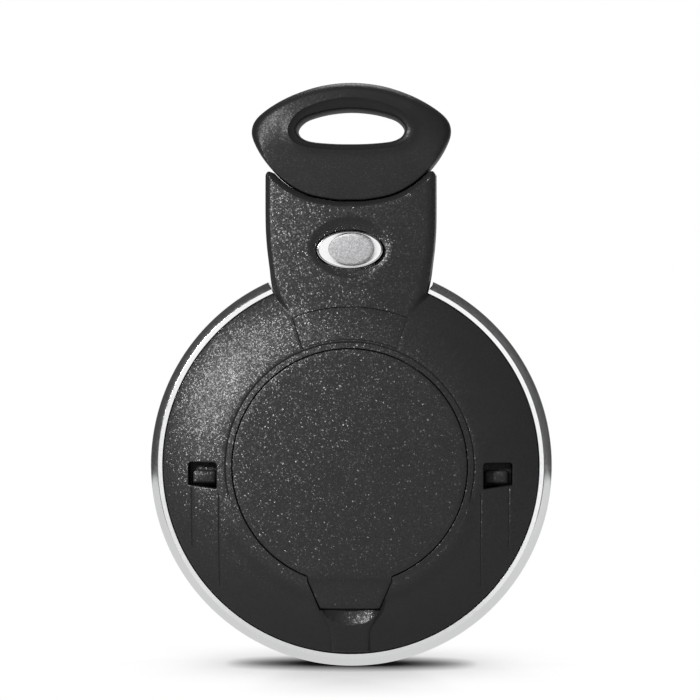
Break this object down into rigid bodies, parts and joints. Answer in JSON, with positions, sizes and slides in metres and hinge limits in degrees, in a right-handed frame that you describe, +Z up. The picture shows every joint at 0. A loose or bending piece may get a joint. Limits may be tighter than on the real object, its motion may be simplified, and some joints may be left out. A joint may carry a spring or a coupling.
{
  "type": "car key shell",
  "caption": "Round smart-key shell on its rim: bright rim ring, battery cover with pry tab, neck with oval release button, and pull-out emergency key with key-ring loop.",
  "frame": {"origin": "lowest point of the rim, on the plane between the two halves of the casing", "axes": "+Z up along the key from the rim to the loop, -Y out of the rear face with the battery cover, +X to the right of that face"},
  "size_m": [0.05, 0.014, 0.0728],
  "materials": {
    "case_plastic": "black, fine spark-eroded grain",
    "inner_plastic": "black, smooth",
    "bright_metal": "polished",
    "brushed_plate": "fine brushed",
    "steel": "satin",
    "contact_metal": "bright spring sheet",
    "rubber": "matt",
    "board": "green solder mask",
    "coil_plastic": "potted brown"
  },
  "bodies": {
    "shell": {"rear_cover": "case_plastic", "front_cover": "case_plastic", "bezel_ring": "bright_metal", "centre_badge": "bright_metal", "inner_carrier": "inner_plastic", "circuit_board": "board", "coin_cell": "steel", "cell_contact_face": "contact_metal", "cell_contact_side": "contact_metal", "button_pad": "rubber", "switch_unlock": "steel", "switch_lock": "steel", "switch_boot": "steel", "antenna_coil": "coil_plastic", "transponder": "inner_plastic", "release_spring": "steel"},
    "battery_lid": {"battery_cover": "case_plastic", "battery_seal": "rubber"},
    "emergency_key": {"key_head": "case_plastic", "key_blade": "steel"},
    "release": {"release_button": "inner_plastic", "release_bezel": "bright_metal", "release_inlay": "brushed_plate", "latch_bar": "steel"},
    "unlock_button": {"button_unlock": "rubber"},
    "lock_button": {"button_lock": "rubber"},
    "boot_button": {"button_boot": "rubber"}
  },
  "joints": [
    {"name": "key_pull", "type": "slide", "parent": "shell", "child": "emergency_key", "axis": [0, 0, 1], "range_m": [0, 0.045]},
    {"name": "release_press", "type": "slide", "parent": "shell", "child": "release", "axis": [0, 1, 0], "range_m": [0, 0.0011], "stiffness_N_per_m": 80, "springref_m": -0.003, "deforming": ["release_spring"]},
    {"name": "unlock_press", "type": "slide", "parent": "shell", "child": "unlock_button", "axis": [0, -1, 0], "range_m": [0, 0.0005], "stiffness_N_per_m": 60, "springref_m": -0.002},
    {"name": "lock_press", "type": "slide", "parent": "shell", "child": "lock_button", "axis": [0, -1, 0], "range_m": [0, 0.0005], "stiffness_N_per_m": 60, "springref_m": -0.002},
    {"name": "boot_press", "type": "slide", "parent": "shell", "child": "boot_button", "axis": [0, -1, 0], "range_m": [0, 0.0005], "stiffness_N_per_m": 60, "springref_m": -0.002},
    {"name": "battery_cover_lift", "type": "slide", "parent": "shell", "child": "battery_lid", "axis": [0, -1, 0], "range_m": [0, 0.012]}
  ]
}
